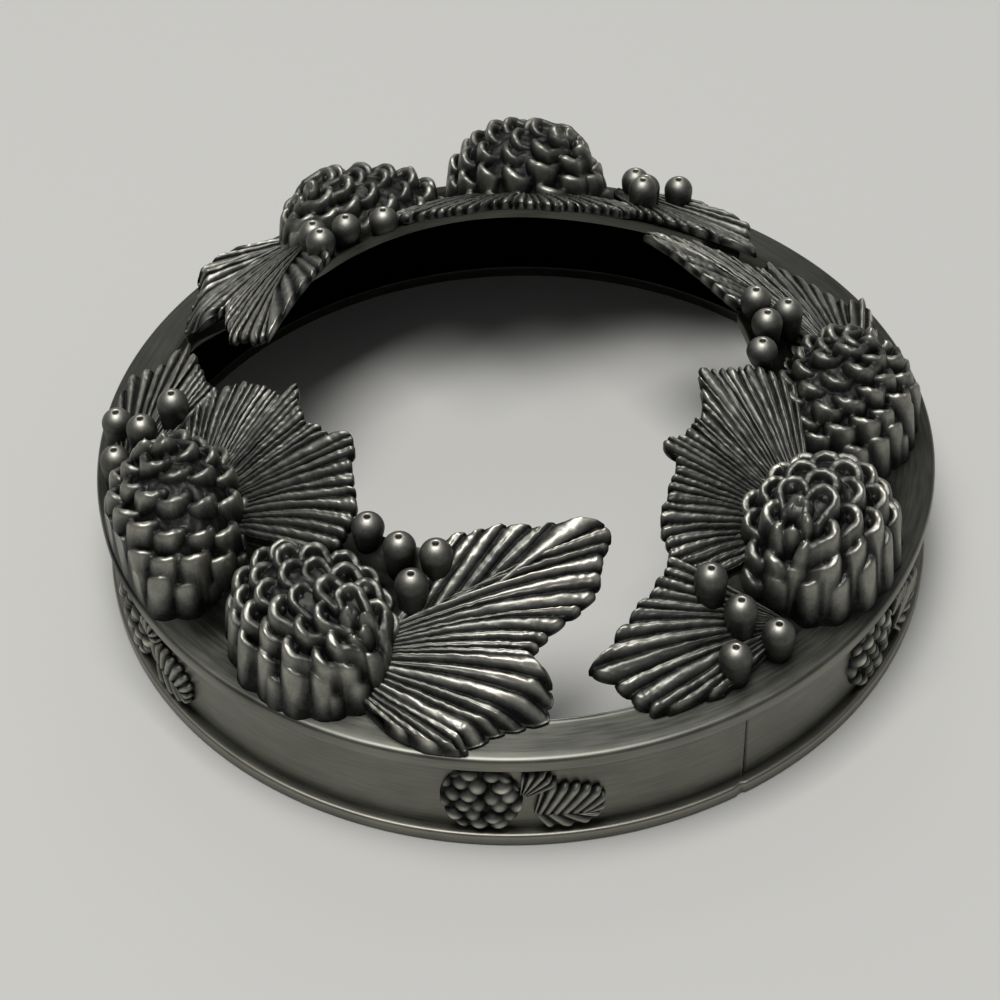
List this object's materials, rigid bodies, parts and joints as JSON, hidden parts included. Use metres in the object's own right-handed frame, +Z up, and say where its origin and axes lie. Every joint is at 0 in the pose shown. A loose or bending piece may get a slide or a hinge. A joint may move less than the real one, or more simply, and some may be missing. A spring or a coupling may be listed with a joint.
{
  "type": "candle jar topper",
  "caption": "Round cast pewter candle jar topper: an open collar ring that sits on the mouth of a jar candle, with clusters of pinecones, needles and berries reaching in over the opening.",
  "frame": {"origin": "centre of the collar ring, at the underside of the foot flange", "axes": "+Z up out of the jar; +X and +Y lie in the foot's plane, and the collar's seam lies at about 300 degrees from +X towards +Y"},
  "size_m": [0.106, 0.106, 0.033],
  "materials": {
    "brushed_pewter": "Brushed antique pewter, satin, grey-brown, with fine scratches along the ring",
    "worn_pewter": "Antique pewter worn brighter at its edges, satin",
    "darkened_pewter": "Blackened cast pewter, crests and rims polished bright, hollows black"
  },
  "bodies": {
    "root": {"foot_flange": "worn_pewter", "collar_band": "brushed_pewter", "top_plate": "brushed_pewter", "pinecone_a1": "darkened_pewter", "pinecone_a2": "darkened_pewter", "berry_a1": "darkened_pewter", "berry_a2": "darkened_pewter", "berry_a3": "darkened_pewter", "berry_a4": "darkened_pewter", "berry_a5": "darkened_pewter", "berry_a6": "darkened_pewter", "berry_a7": "darkened_pewter", "berry_a8": "darkened_pewter", "start_fan_a": "darkened_pewter", "inner_fan_first_a": "darkened_pewter", "inner_fan_second_a": "darkened_pewter", "end_fan_upper_a": "darkened_pewter", "end_fan_lower_a": "darkened_pewter", "pinecone_b1": "darkened_pewter", "pinecone_b2": "darkened_pewter", "berry_b1": "darkened_pewter", "berry_b2": "darkened_pewter", "berry_b3": "darkened_pewter", "berry_b4": "darkened_pewter", "berry_b5": "darkened_pewter", "berry_b6": "darkened_pewter", "berry_b7": "darkened_pewter", "berry_b8": "darkened_pewter", "start_fan_b": "darkened_pewter", "inner_fan_first_b": "darkened_pewter", "inner_fan_second_b": "darkened_pewter", "end_fan_upper_b": "darkened_pewter", "end_fan_lower_b": "darkened_pewter", "pinecone_c1": "darkened_pewter", "pinecone_c2": "darkened_pewter", "berry_c1": "darkened_pewter", "berry_c2": "darkened_pewter", "berry_c3": "darkened_pewter", "berry_c4": "darkened_pewter", "berry_c5": "darkened_pewter", "berry_c6": "darkened_pewter", "berry_c7": "darkened_pewter", "berry_c8": "darkened_pewter", "start_fan_c": "darkened_pewter", "inner_fan_first_c": "darkened_pewter", "inner_fan_second_c": "darkened_pewter", "end_fan_upper_c": "darkened_pewter", "end_fan_lower_c": "darkened_pewter", "relief_cone_1": "darkened_pewter", "relief_sprig_1": "darkened_pewter", "relief_cone_2": "darkened_pewter", "relief_sprig_2": "darkened_pewter", "relief_cone_3": "darkened_pewter", "relief_sprig_3": "darkened_pewter", "relief_cone_4": "darkened_pewter", "relief_sprig_4": "darkened_pewter", "relief_cone_5": "darkened_pewter", "relief_sprig_5": "darkened_pewter", "relief_cone_6": "darkened_pewter", "relief_sprig_6": "darkened_pewter"}
  },
  "joints": []
}
